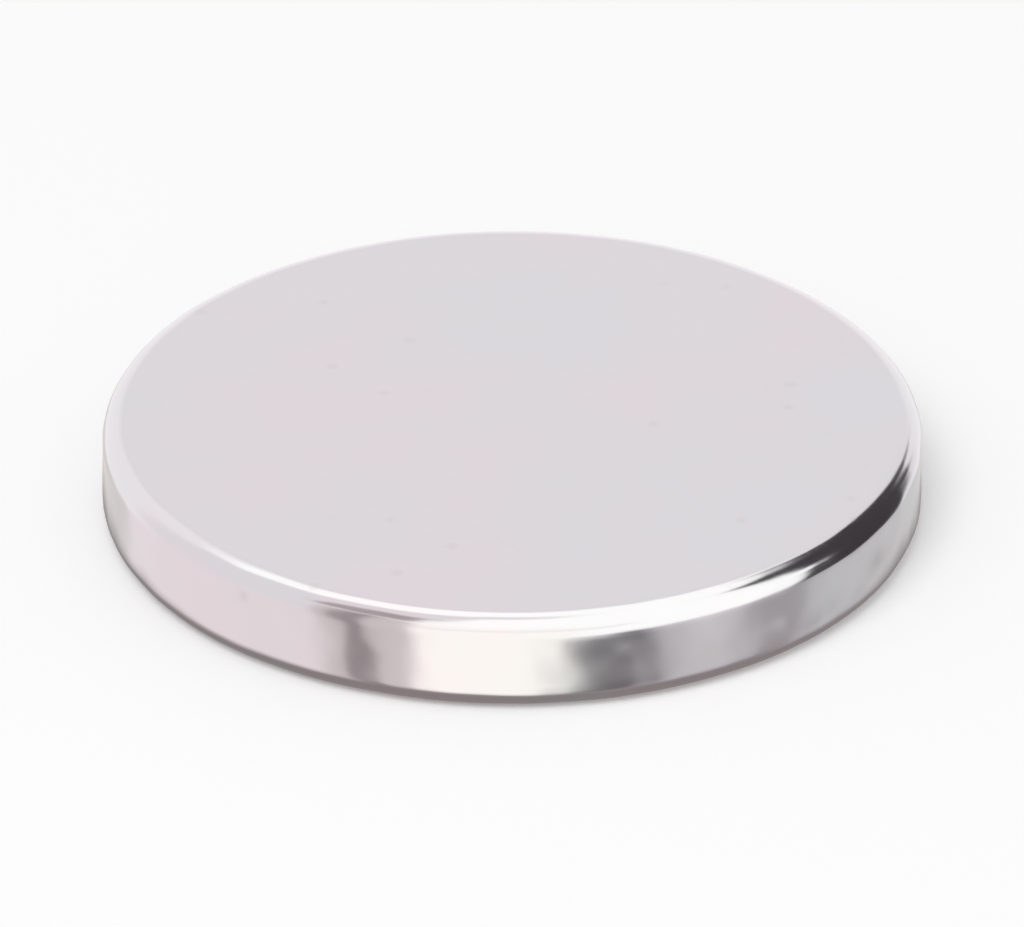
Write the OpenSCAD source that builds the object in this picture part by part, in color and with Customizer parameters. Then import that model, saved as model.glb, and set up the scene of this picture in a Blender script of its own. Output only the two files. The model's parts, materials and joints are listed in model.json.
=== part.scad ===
// Disc magnet: one sintered disc with two flat faces, a straight rim and tumbled edges.
// It lies on a flat face, with Z along its axis and the origin at the middle of the lower face.
// Lengths are in millimetres.

/* [Disc] */
// Diameter across the straight rim
disc_d = 8; // [4:0.5:20]
// Thickness from one flat face to the other
disc_t = 1; // [0.6:0.1:5]

/* [Edges] */
// Radius of the rounding where each flat face turns into the rim
edge_r = 0.21; // [0.05:0.01:0.25]

/* [Hidden] */
nickel = [0.86, 0.84, 0.855];
disc_r = disc_d / 2;
rim_facets = 180;
edge_facets = 64;

// Half of the section through the axis: a rectangle whose two outer corners are quarter circles
module disc_section() {
    square([disc_r - edge_r, disc_t]);
    translate([0, edge_r])
        square([disc_r, disc_t - 2 * edge_r]);
    for (height = [edge_r, disc_t - edge_r])
        translate([disc_r - edge_r, height])
            circle(r = edge_r, $fn = edge_facets);
}

module magnet_disc() {
    color(nickel)
        rotate_extrude($fn = rim_facets)
            disc_section();
}

magnet_disc();
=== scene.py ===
"""Looks of a small nickel-plated disc magnet, which lies flat on a pale table in soft studio light."""

import json
import math

import bmesh
import bpy
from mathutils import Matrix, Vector


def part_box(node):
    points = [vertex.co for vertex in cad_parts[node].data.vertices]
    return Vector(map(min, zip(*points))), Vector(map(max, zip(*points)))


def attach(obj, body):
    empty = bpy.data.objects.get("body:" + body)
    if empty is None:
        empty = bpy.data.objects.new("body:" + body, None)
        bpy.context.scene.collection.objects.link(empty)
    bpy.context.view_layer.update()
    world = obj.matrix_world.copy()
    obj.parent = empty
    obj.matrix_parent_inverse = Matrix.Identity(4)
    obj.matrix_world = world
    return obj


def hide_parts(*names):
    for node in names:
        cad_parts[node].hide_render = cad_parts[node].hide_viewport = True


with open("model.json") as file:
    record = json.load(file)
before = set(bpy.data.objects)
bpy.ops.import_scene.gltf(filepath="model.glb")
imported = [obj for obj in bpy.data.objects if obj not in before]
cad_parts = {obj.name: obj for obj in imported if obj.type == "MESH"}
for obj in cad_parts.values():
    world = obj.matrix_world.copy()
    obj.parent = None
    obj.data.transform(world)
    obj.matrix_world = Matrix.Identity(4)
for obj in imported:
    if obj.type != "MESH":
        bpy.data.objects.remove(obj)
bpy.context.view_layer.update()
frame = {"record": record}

# One millimetre and one micrometre, in metres
MM = 0.001
MICRON = 0.000001

# The disc's sizes come from the frame, in metres
lowest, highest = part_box("magnet_disc")
rim_mount = next(m for m in frame["record"]["mounts"] if m["name"] == "rim")
RADIUS = rim_mount["dims"]["r_mm"] * MM
THICKNESS = highest.z - lowest.z
STRAIGHT_RIM = rim_mount["dims"]["length_mm"] * MM
EDGE_RADIUS = (THICKNESS - STRAIGHT_RIM) / 2
FLAT_RADIUS = RADIUS - EDGE_RADIUS

# How finely the disc is modelled
SIDES = 720
EDGE_STEPS = 14
RIM_CUTS = 9

# The bevel's profile that gives a quarter circle
ROUND_PROFILE = 0.5

# Rings on each flat face, as shares of the flat's radius
FACE_RINGS = (0.996, 0.97, 0.9, 0.75, 0.5, 0.2)

# Unevenness of the plated rim: how wide the bumps are and how high they stand, in millimetres
RIPPLE_SIZE, RIPPLE_HEIGHT = 0.6, 0.018
SWELL_SIZE, SWELL_HEIGHT = 2.4, 0.025

# The grey of the bumps' texture that leaves the surface where it is
LEVEL_GREY = 0.5

# The camera looks at the face from 29.1 degrees above it, through a long lens
CAMERA_ELEVATION = 29.1
CAMERA_DISTANCE = 45 * RADIUS
SENSOR_WIDTH = 36.0
DISC_SHARE = 0.8

# Sockets of a Mix node that blends colours, and of one that blends shaders
MIX_FIRST, MIX_SECOND, MIX_RESULT = 6, 7, 2
SHADER_FIRST, SHADER_SECOND = 1, 2

# Half a turn, in degrees
HALF_TURN = 180


class Value:
    """A number worked out at each point of a surface, so that shader maths reads as an expression."""

    def __init__(self, recipe, socket):
        self.recipe = recipe
        self.socket = socket

    def __add__(self, other):
        return self.recipe.maths("ADD", self, other)

    def __sub__(self, other):
        return self.recipe.maths("SUBTRACT", self, other)

    def __rsub__(self, other):
        return self.recipe.maths("SUBTRACT", other, self)

    def __mul__(self, other):
        return self.recipe.maths("MULTIPLY", self, other)

    def __abs__(self):
        return self.recipe.maths("ABSOLUTE", self)

    __radd__ = __add__
    __rmul__ = __mul__

    def rise(self, start, end):
        """0 at start and 1 at end, smooth between them and level outside them."""
        sockets = {"Value": self, "From Min": start, "From Max": end}
        node = self.recipe.add("ShaderNodeMapRange", {"interpolation_type": "SMOOTHSTEP"}, sockets)
        return Value(self.recipe, node.outputs["Result"])


class Recipe:
    """The nodes of one material or of the world."""

    def __init__(self, owner):
        owner.use_nodes = True
        self.tree = owner.node_tree
        self.tree.nodes.clear()

    def add(self, kind, settings=None, sockets=None):
        """Adds a node: its settings first, and then the values or links of its sockets."""
        node = self.tree.nodes.new(kind)
        for name, setting in (settings or {}).items():
            setattr(node, name, setting)
        for name, given in (sockets or {}).items():
            given = getattr(given, "socket", given)
            if isinstance(given, bpy.types.NodeSocket):
                self.tree.links.new(given, node.inputs[name])
            else:
                node.inputs[name].default_value = given
        return node

    def value(self, node, output):
        """One output of a node, as a number for expressions."""
        return Value(self, node.outputs[output])

    def maths(self, operation, *terms):
        node = self.add("ShaderNodeMath", {"operation": operation}, dict(enumerate(terms)))
        return self.value(node, "Value")

    def blend(self, share, first, second):
        """A colour that goes from first to second as share goes from 0 to 1."""
        sockets = {"Factor": share, MIX_FIRST: first, MIX_SECOND: second}
        return self.add("ShaderNodeMix", {"data_type": "RGBA"}, sockets).outputs[MIX_RESULT]

    def noise(self, place, size, detail):
        """Soft noise about 0.5, with lumps about size metres wide and detail finer layers."""
        sockets = {"Vector": place, "Scale": 1 / size, "Detail": detail}
        return self.value(self.add("ShaderNodeTexNoise", None, sockets), "Fac")


def colour(red, green, blue):
    return (red, green, blue, 1.0)


def select_only(part, kind, wanted):
    """In edit mode, selects the vertices, edges or faces for which wanted is true."""
    bpy.ops.mesh.select_mode(type=kind)
    bpy.ops.mesh.select_all(action="DESELECT")
    mesh = bmesh.from_edit_mesh(part.data)
    elements = {"VERT": mesh.verts, "EDGE": mesh.edges, "FACE": mesh.faces}[kind]
    for element in elements:
        if wanted(element):
            element.select_set(True)
    bmesh.update_edit_mesh(part.data)


def rise_along_z(edge):
    return abs(edge.verts[0].co.z - edge.verts[1].co.z)


def add_modifier(part, kind, **settings):
    """Adds a modifier and applies it at once."""
    modifier = part.modifiers.new(kind.lower(), kind)
    for name, setting in settings.items():
        setattr(modifier, name, setting)
    bpy.ops.object.modifier_apply(modifier=modifier.name)


def weigh_rim(part, flat_radius, edge_radius):
    """A vertex group that is 1 on the rim and fades to 0 where the flat faces begin."""
    group = part.vertex_groups.new(name="rim")
    for vertex in part.data.vertices:
        outward = (math.hypot(vertex.co.x, vertex.co.y) - flat_radius) / edge_radius
        if outward > 0:
            group.add([vertex.index], min(outward, 1.0), "REPLACE")
    return group.name


def cloud_texture(name, size):
    texture = bpy.data.textures.new(name, "CLOUDS")
    texture.noise_scale = size
    texture.noise_depth = 1
    return texture


def model_disc():
    """The disc, modelled in millimetres: tumbled edges, ringed faces and a slightly uneven rim."""
    radius, thickness = RADIUS / MM, THICKNESS / MM
    edge_radius, flat_radius = EDGE_RADIUS / MM, FLAT_RADIUS / MM
    bpy.ops.object.select_all(action="DESELECT")
    bpy.ops.mesh.primitive_cylinder_add(
        vertices=SIDES, radius=radius, depth=thickness, location=(0, 0, thickness / 2)
    )
    disc = bpy.context.object
    disc.name = "plated_disc"
    bpy.ops.object.transform_apply(location=True)

    bpy.ops.object.mode_set(mode="EDIT")
    select_only(disc, "EDGE", lambda edge: rise_along_z(edge) < edge_radius)
    bpy.ops.mesh.bevel(offset=edge_radius, segments=EDGE_STEPS, profile=ROUND_PROFILE, affect="EDGES")
    select_only(disc, "EDGE", lambda edge: rise_along_z(edge) > edge_radius)
    bpy.ops.mesh.subdivide(number_cuts=RIM_CUTS)
    select_only(disc, "FACE", lambda face: len(face.verts) == SIDES)
    ring = flat_radius
    for share in FACE_RINGS:
        bpy.ops.mesh.inset(thickness=ring - share * flat_radius, use_individual=True)
        ring = share * flat_radius
    bpy.ops.mesh.poke()
    bpy.ops.object.mode_set(mode="OBJECT")

    rim = weigh_rim(disc, flat_radius, edge_radius)
    for name, size, height in (
        ("swell", SWELL_SIZE, SWELL_HEIGHT),
        ("ripple", RIPPLE_SIZE, RIPPLE_HEIGHT),
    ):
        add_modifier(
            disc,
            "DISPLACE",
            texture=cloud_texture(name, size),
            texture_coords="LOCAL",
            strength=height,
            mid_level=LEVEL_GREY,
            vertex_group=rim,
        )
    disc.scale = (MM, MM, MM)
    bpy.ops.object.transform_apply(scale=True)
    bpy.ops.object.shade_smooth()
    return disc


# Nickel as it looks under a white sky: two tones that cloud into each other, and its specks
PINK_NICKEL = colour(0.732, 0.666, 0.701)
GREY_NICKEL = colour(0.699, 0.680, 0.707)
SPECK_TONE = colour(0.670, 0.632, 0.658)

# Clouding, haze and orange peel: sizes in metres, detail of the noise, and the part of it that shows
CLOUD_SIZE = 1.9 * MM
CLOUD_DETAIL = 2.0
CLOUD_RANGE = (0.3, 0.7)
HAZE_SIZE = 0.5 * MM
HAZE_DETAIL = 4.0
HAZE_RANGE = (0.3, 0.8)
PEEL_SIZE = 0.12 * MM
PEEL_DETAIL = 1.0
PEEL_HEIGHT = 0.25 * MICRON

# Specks: one may lie in each cell, and about this share of the cells has one
SPECK_SPACING = 0.65 * MM
SPECK_RADIUS = 0.10 * MM
SPECK_SHARE = 0.5
SPECK_SHARE_BLUR = 0.01
SPECK_DEPTH = 0.3 * MICRON

# Hairlines: how long and how thin they are, the two ways they run in degrees, and how much they show
HAIRLINE_LENGTH = 0.6 * MM
HAIRLINE_SLENDERNESS = 45
HAIRLINE_TURNS = (25, -55)
HAIRLINE_DETAIL = 1.0
HAIRLINE_RANGE = (0.66, 0.76)
HAIRLINE_DEPTH = 0.04 * MICRON
HAIRLINE_DIMMING = 0.25

# Roughness of clean plating, and what each kind of mark adds to it
SMOOTHEST = 0.12
CLOUD_DULLING = 0.03
HAZE_DULLING = 0.03
SPECK_DULLING = 0.1
HAIRLINE_DULLING = 0.06


def hairlines(recipe, place, turn):
    """Fine scratches that all run one way, 1 on a scratch and 0 beside it."""
    turned = recipe.add("ShaderNodeMapping", {"vector_type": "POINT"}, {
        "Vector": place,
        "Rotation": (0.0, 0.0, math.radians(turn)),
        "Scale": (1.0, HAIRLINE_SLENDERNESS, 1.0),
    })
    streaks = recipe.noise(turned.outputs["Vector"], HAIRLINE_LENGTH, HAIRLINE_DETAIL)
    return streaks.rise(*HAIRLINE_RANGE)


def nickel_plate():
    """Bright nickel: a near mirror with faint clouding, light haze, a few specks and hairlines."""
    material = bpy.data.materials.new("nickel_plate")
    recipe = Recipe(material)
    place = recipe.add("ShaderNodeTexCoord").outputs["Object"]

    clouds = recipe.noise(place, CLOUD_SIZE, CLOUD_DETAIL).rise(*CLOUD_RANGE)
    haze = recipe.noise(place, HAZE_SIZE, HAZE_DETAIL).rise(*HAZE_RANGE)
    peel = recipe.noise(place, PEEL_SIZE, PEEL_DETAIL)

    cells = recipe.add("ShaderNodeTexVoronoi", None, {"Vector": place, "Scale": 1 / SPECK_SPACING})
    near = recipe.value(cells, "Distance").rise(SPECK_RADIUS / SPECK_SPACING, 0)
    parts = recipe.add("ShaderNodeSeparateColor", None, {"Color": cells.outputs["Color"]})
    chosen = recipe.value(parts, "Red").rise(SPECK_SHARE, SPECK_SHARE - SPECK_SHARE_BLUR)
    speck = near * chosen

    height_up = recipe.value(recipe.add("ShaderNodeSeparateXYZ", None, {"Vector": place}), "Z")
    on_face = abs(height_up - THICKNESS / 2).rise(STRAIGHT_RIM / 2, THICKNESS / 2)
    one_way, other_way = (hairlines(recipe, place, turn) for turn in HAIRLINE_TURNS)
    hairline = recipe.maths("MAXIMUM", one_way, other_way) * on_face

    tone = recipe.blend(clouds, PINK_NICKEL, GREY_NICKEL)
    dimmed = recipe.maths("MAXIMUM", speck, hairline * HAIRLINE_DIMMING)
    tone = recipe.blend(dimmed, tone, SPECK_TONE)
    dullness = clouds * CLOUD_DULLING + haze * HAZE_DULLING + SMOOTHEST
    dullness = dullness + speck * SPECK_DULLING + hairline * HAIRLINE_DULLING
    height = peel * PEEL_HEIGHT - speck * SPECK_DEPTH - hairline * HAIRLINE_DEPTH
    bump = recipe.add("ShaderNodeBump", None, {"Distance": 1.0, "Height": height})
    shader = recipe.add("ShaderNodeBsdfPrincipled", None, {
        "Base Color": tone,
        "Metallic": 1.0,
        "Roughness": dullness,
        "Normal": bump.outputs["Normal"],
    })
    recipe.add("ShaderNodeOutputMaterial", None, {"Surface": shader.outputs["BSDF"]})
    return material


# Brightness and tint of what stands round the disc, where 1 shows the nickel in its own colour
OPEN_STUDIO = colour(0.985, 0.985, 0.988)
WHITE = colour(1.40, 1.45, 1.39)
WARM_WHITE = colour(1.37, 1.39, 1.28)
PALE = colour(1.24, 1.24, 1.22)
GLOW = colour(1.10, 1.10, 1.10)
ROSY = colour(1.035, 0.985, 0.985)
WARM_GREY = colour(0.80, 0.77, 0.75)
LIGHT_GREY = colour(0.72, 0.73, 0.72)
SHADE = colour(0.42, 0.41, 0.41)
DIM = colour(0.50, 0.47, 0.46)
DARK = colour(0.34, 0.31, 0.31)
DARKER = colour(0.20, 0.20, 0.20)
BLACK = colour(0.06, 0.055, 0.06)

# Soft cards that stand round the disc and show in its metal, each in front of those before it.
# Bearings and heights are in degrees: bearing 0 is behind the disc, 90 to its right, 180 on the
# camera's side and 270 to its left. Each card has the bearings of its two sides and how soft they
# are, the heights of its lower and upper edge and how soft they are, and its brightness
CARDS = {
    "wall_left": (232, 334, 10, -60, -6, 8, ROSY),
    "glow_left": (298, 348, 14, 16, 52, 10, GLOW),
    "glow_behind": (-64, 36, 14, -22, 22, 9, GLOW),
    "table_behind": (-42, 20, 14, -60, -16, 8, WARM_GREY),
    "softbox_overhead": (-70, 206, 12, 50, 83, 9, WHITE),
    "softbox_front": (90, 212, 7, 30, 58, 4, WHITE),
    "flag_upper_left": (210, 243, 9, 37, 61, 9, DIM),
    "softbox_low_right": (90, 168, 7, -21, 34, 4, WHITE),
    "softbox_low_front": (162, 209, 8, -60, 34, 4, WARM_WHITE),
    "gap_in_softboxes": (148, 212, 8, 10, 20, 3, PALE),
    "strip_left_shade": (209, 236, 9, -60, 32, 5, WARM_GREY),
    "strip_left": (220, 227.5, 4, -60, 34, 4, DARK),
    "wall_right": (14, 136, 12, -60, -26.5, 3, LIGHT_GREY),
    "curtain_right": (90, 110, 16, -60, -26.5, 3, SHADE),
    "flag_low": (46, 97, 6, -26.5, 8, 3, BLACK),
    "flag_middle": (41, 91, 5, 5, 24, 3, BLACK),
    "flag_high": (28, 96, 6, 21, 55, 5, BLACK),
    "flag_front": (136, 165, 20, -60, -26.5, 3, DARKER),
    "table_near": (-190, 190, 5, -90, -48, 8, SHADE),
    "table_nearest": (-190, 190, 5, -90, -64, 16, DARKER),
}
FILL = colour(0.62, 0.62, 0.62)
WHITE_SKY = colour(1.0, 1.0, 1.0)


def studio():
    """The world: cards of light and shade for the metal, white for the camera and a plain fill."""
    world = bpy.data.worlds.new("studio")
    bpy.context.scene.world = world
    recipe = Recipe(world)
    direction = recipe.add("ShaderNodeTexCoord").outputs["Generated"]
    parts = recipe.add("ShaderNodeSeparateXYZ", None, {"Vector": direction})
    across, ahead, up = (recipe.value(parts, axis) for axis in "XYZ")
    to_degrees = HALF_TURN / math.pi
    height = recipe.maths("ARCSINE", up) * to_degrees
    bearing = recipe.maths("ARCTAN2", across, ahead) * to_degrees

    seen = OPEN_STUDIO
    for left, right, side_softness, low, high, edge_softness, tone in CARDS.values():
        half_width, side, edge = (right - left) / 2, side_softness / 2, edge_softness / 2
        turn = abs(recipe.maths("WRAP", bearing - (left + right) / 2, HALF_TURN, -HALF_TURN))
        card = (
            turn.rise(half_width + side, half_width - side)
            * height.rise(low - edge, low + edge)
            * height.rise(high + edge, high - edge)
        )
        seen = recipe.blend(card, seen, tone)
    rays = recipe.add("ShaderNodeLightPath")
    for_metal = recipe.value(rays, "Is Glossy Ray") + recipe.value(rays, "Is Transmission Ray")
    plain = recipe.blend(recipe.value(rays, "Is Camera Ray"), FILL, WHITE_SKY)
    sky = recipe.add("ShaderNodeBackground", None, {"Color": plain, "Strength": 1.0})
    room = recipe.add("ShaderNodeBackground", None, {"Color": seen, "Strength": 1.0})
    mixed = recipe.add("ShaderNodeMixShader", None, {
        "Fac": for_metal,
        SHADER_FIRST: sky.outputs["Background"],
        SHADER_SECOND: room.outputs["Background"],
    })
    recipe.add("ShaderNodeOutputWorld", None, {"Surface": mixed.outputs["Shader"]})


# The table: a wide round sheet that lies just under the disc
FLOOR_RADIUS = 120 * RADIUS
FLOOR_SIDES = 64
FLOOR_DEPTH = 3 * MICRON
FLOOR_COLOUR = colour(0.90, 0.90, 0.90)
NO_GLOW, FLOOR_GLOW = colour(0.0, 0.0, 0.0), colour(0.16, 0.16, 0.16)

# Painted shade where the disc meets the table: a dark ring just under the disc's foot that only the
# metal sees and mirrors as a dark line, how far it reaches past the rim, and how far below the disc it
# lies
PAINTED_CONTACT_SHADE = colour(0.31, 0.285, 0.28)
CONTACT_SHADE_WIDTH = 0.30 * MM
CONTACT_SHADE_DEPTH = 1 * MICRON

# The even light that each flat face mirrors is a card just off the face, a little smaller than it
CARD_SIDES = 180
FACE_CARD_GAP = 10 * MICRON
FACE_CARD_RADIUS = FLAT_RADIUS - 20 * MICRON

# The lamp: where it stands in degrees and metres, how wide it is and how bright
LAMP_BEARING, LAMP_ELEVATION = 205, 58
LAMP_DISTANCE = 60 * RADIUS
LAMP_WIDTH = 36 * RADIUS
LAMP_RADIANCE = 3.2

# The camera sees this far, in metres
CAMERA_REACH = 4 * FLOOR_RADIUS


def white_floor():
    """A plain pale table, fully matte. From below the camera sees through it."""
    bpy.ops.object.select_all(action="DESELECT")
    bpy.ops.mesh.primitive_circle_add(
        vertices=FLOOR_SIDES, radius=FLOOR_RADIUS, fill_type="NGON", location=(0, 0, -FLOOR_DEPTH)
    )
    floor = bpy.context.object
    floor.name = "floor"
    floor.visible_glossy = False
    material = bpy.data.materials.new("white_table")
    recipe = Recipe(material)
    rays = recipe.add("ShaderNodeLightPath")
    for_camera = recipe.value(rays, "Is Camera Ray")
    from_below = recipe.value(recipe.add("ShaderNodeNewGeometry"), "Backfacing")
    table = recipe.add("ShaderNodeBsdfPrincipled", None, {
        "Base Color": FLOOR_COLOUR,
        "Roughness": 1.0,
        "Specular IOR Level": 0.0,
        "Emission Color": recipe.blend(for_camera, NO_GLOW, FLOOR_GLOW),
        "Emission Strength": 1.0,
    })
    clear = recipe.add("ShaderNodeBsdfTransparent")
    mixed = recipe.add("ShaderNodeMixShader", None, {
        "Fac": for_camera * from_below,
        SHADER_FIRST: table.outputs["BSDF"],
        SHADER_SECOND: clear.outputs["BSDF"],
    })
    recipe.add("ShaderNodeOutputMaterial", None, {"Surface": mixed.outputs["Shader"]})
    floor.data.materials.append(material)


def metal_card(name, radius, height, tone, hole=0.0):
    """A flat round card that only the metal sees, of full tone up to the disc's radius; over a face it
    gives even light, and round the disc's foot it is painted shade.
    """
    bpy.ops.object.select_all(action="DESELECT")
    bpy.ops.mesh.primitive_circle_add(
        vertices=CARD_SIDES, radius=radius, fill_type="NGON", location=(0, 0, height)
    )
    card = bpy.context.object
    card.name = name
    if hole:
        bpy.ops.object.mode_set(mode="EDIT")
        bpy.ops.mesh.inset(thickness=radius - hole)
        bpy.ops.mesh.delete(type="FACE")
        bpy.ops.object.mode_set(mode="OBJECT")
    card.visible_camera = False
    card.visible_diffuse = False
    card.visible_shadow = False
    material = bpy.data.materials.new(name)
    recipe = Recipe(material)
    place = recipe.add("ShaderNodeTexCoord").outputs["Object"]
    length = recipe.add("ShaderNodeVectorMath", {"operation": "LENGTH"}, {0: place})
    outward = recipe.value(length, "Value")
    glow = recipe.add("ShaderNodeEmission", None, {"Color": tone, "Strength": 1.0})
    clear = recipe.add("ShaderNodeBsdfTransparent")
    mixed = recipe.add("ShaderNodeMixShader", None, {
        "Fac": outward.rise(RADIUS, RADIUS + CONTACT_SHADE_WIDTH),
        SHADER_FIRST: glow.outputs["Emission"],
        SHADER_SECOND: clear.outputs["BSDF"],
    })
    recipe.add("ShaderNodeOutputMaterial", None, {"Surface": mixed.outputs["Shader"]})
    card.data.materials.append(material)


def softbox(name, bearing, elevation, distance, width, radiance):
    """A square area lamp that faces the disc and lights the floor round it."""
    turn, tilt = math.radians(bearing), math.radians(elevation)
    aim = Vector((math.sin(turn) * math.cos(tilt), math.cos(turn) * math.cos(tilt), math.sin(tilt)))
    data = bpy.data.lights.new(name, "AREA")
    data.shape = "SQUARE"
    data.size = width
    data.energy = radiance * math.pi * width * width
    lamp = bpy.data.objects.new(name, data)
    lamp.location = aim * distance
    lamp.rotation_euler = aim.to_track_quat("Z", "Y").to_euler()
    lamp.visible_camera = False
    lamp.visible_glossy = False
    bpy.context.collection.objects.link(lamp)


def camera():
    """A long lens at the photograph's angle to the face."""
    tilt = math.radians(CAMERA_ELEVATION)
    back = Vector((0, -math.cos(tilt), math.sin(tilt)))
    data = bpy.data.cameras.new("camera")
    data.sensor_width = SENSOR_WIDTH
    data.lens = SENSOR_WIDTH * DISC_SHARE * CAMERA_DISTANCE / (2 * RADIUS)
    data.clip_start = RADIUS
    data.clip_end = CAMERA_REACH
    lens = bpy.data.objects.new("camera", data)
    lens.location = Vector((0, 0, THICKNESS / 2)) + back * CAMERA_DISTANCE
    lens.rotation_euler = back.to_track_quat("Z", "Y").to_euler()
    bpy.context.collection.objects.link(lens)
    bpy.context.scene.camera = lens


bpy.context.scene.view_settings.view_transform = "Standard"
camera()
studio()
white_floor()
# Painted shade: a dark ring round the disc's foot, which the metal mirrors as the contact shadow on
# the table
metal_card("painted_contact_shade", RADIUS + CONTACT_SHADE_WIDTH, -CONTACT_SHADE_DEPTH, PAINTED_CONTACT_SHADE, hole=FLAT_RADIUS)
metal_card("card_over_disc", FACE_CARD_RADIUS, THICKNESS + FACE_CARD_GAP, OPEN_STUDIO)
metal_card("card_under_disc", FACE_CARD_RADIUS, -FACE_CARD_GAP, OPEN_STUDIO)
softbox("key_softbox", LAMP_BEARING, LAMP_ELEVATION, LAMP_DISTANCE, LAMP_WIDTH, LAMP_RADIANCE)

disc = model_disc()
disc.data.materials.append(nickel_plate())
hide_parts("magnet_disc")
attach(disc, "root")
